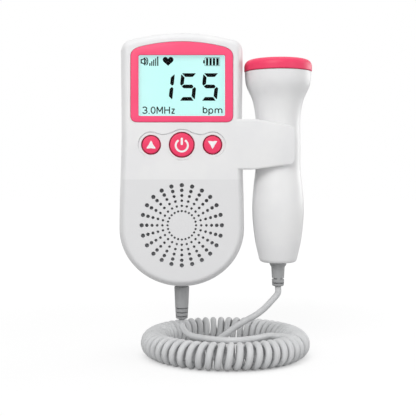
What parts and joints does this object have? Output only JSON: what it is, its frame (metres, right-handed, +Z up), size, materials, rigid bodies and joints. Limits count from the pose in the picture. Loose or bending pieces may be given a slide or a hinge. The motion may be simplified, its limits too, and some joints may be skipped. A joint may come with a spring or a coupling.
{
  "type": "fetal doppler monitor",
  "caption": "Hand-held fetal doppler: a display unit with keys, a round speaker grille and a side clip that holds a waisted ultrasound probe, joined to it by a curly cord.",
  "frame": {"origin": "on the flat back face of the main unit, on its upright centre line, above the battery door", "axes": "+Z up towards the top of the main unit, +Y out of its back, the screen and keys face -Y, the probe is on the +X side"},
  "size_m": [0.1015, 0.0889, 0.1696],
  "materials": {
    "housing": "white moulded ABS, satin gloss",
    "pink": "pink moulded plastic, satin gloss",
    "steel": "zinc-plated",
    "cord": "pale grey soft PVC sheath",
    "relief": "grey soft PVC",
    "dark_plastic": "dark grey",
    "clear_window": "clear acrylic",
    "display": "lit liquid crystal panel",
    "diffuser": "white diffuser",
    "circuit_board": "green solder resist",
    "ceramic": "piezo ceramic",
    "foam": "black foam",
    "speaker_steel": "pressed steel",
    "cone_paper": "black pressed paper",
    "battery": "plain wrapped AA cell"
  },
  "bodies": {
    "main_unit": {"front_cover": "housing", "rear_cover": "housing", "speaker_grille": "housing", "screen_frame": "pink", "housing_screw_1": "steel", "housing_screw_2": "steel", "housing_screw_3": "steel", "housing_screw_4": "steel", "board_screw_1": "steel", "board_screw_2": "steel", "board_screw_3": "steel", "battery_bridge_plate": "steel", "battery_contact_positive": "steel", "battery_contact_negative": "steel", "battery_spring_lower": "steel", "battery_spring_upper": "steel", "unit_lead": "cord", "curly_cord": "cord", "probe_lead": "cord", "unit_strain_relief": "relief", "earphone_socket": "dark_plastic", "processor_chip": "dark_plastic", "amplifier_chip": "dark_plastic", "volume_up_switch": "dark_plastic", "power_switch": "dark_plastic", "volume_down_switch": "dark_plastic", "screen_lens": "clear_window", "lcd_panel": "display", "lcd_backlight": "diffuser", "main_board": "circuit_board", "speaker_gasket": "foam", "speaker_frame": "speaker_steel", "speaker_magnet": "speaker_steel", "speaker_cone": "cone_paper", "battery_cell_1": "battery", "battery_cell_2": "battery"},
    "volume_up": {"volume_up_button": "pink"},
    "power": {"power_button": "pink"},
    "volume_down": {"volume_down_button": "pink"},
    "battery_door": {"battery_cover": "housing"},
    "probe": {"probe_front_shell": "housing", "probe_rear_shell": "housing", "probe_cap": "pink", "transducer_crystal_1": "ceramic", "transducer_crystal_2": "ceramic", "transducer_backing": "dark_plastic", "probe_board": "circuit_board", "probe_strain_relief": "relief"}
  },
  "joints": [
    {"name": "volume_up_press", "type": "slide", "parent": "main_unit", "child": "volume_up", "axis": [0, 1, 0], "range_m": [0, 0.0008], "stiffness_N_per_m": 900},
    {"name": "power_press", "type": "slide", "parent": "main_unit", "child": "power", "axis": [0, 1, 0], "range_m": [0, 0.0008], "stiffness_N_per_m": 900},
    {"name": "volume_down_press", "type": "slide", "parent": "main_unit", "child": "volume_down", "axis": [0, 1, 0], "range_m": [0, 0.0008], "stiffness_N_per_m": 900},
    {"name": "battery_door_tilt", "type": "hinge", "parent": "main_unit", "child": "battery_door", "pos_m": [0, 0, -0.0911], "axis": [-1, 0, 0], "range_deg": [0, 75]},
    {"name": "probe_unclip", "type": "slide", "parent": "main_unit", "child": "probe", "axis": [1, 0, 0], "range_m": [0, 0.05]}
  ]
}
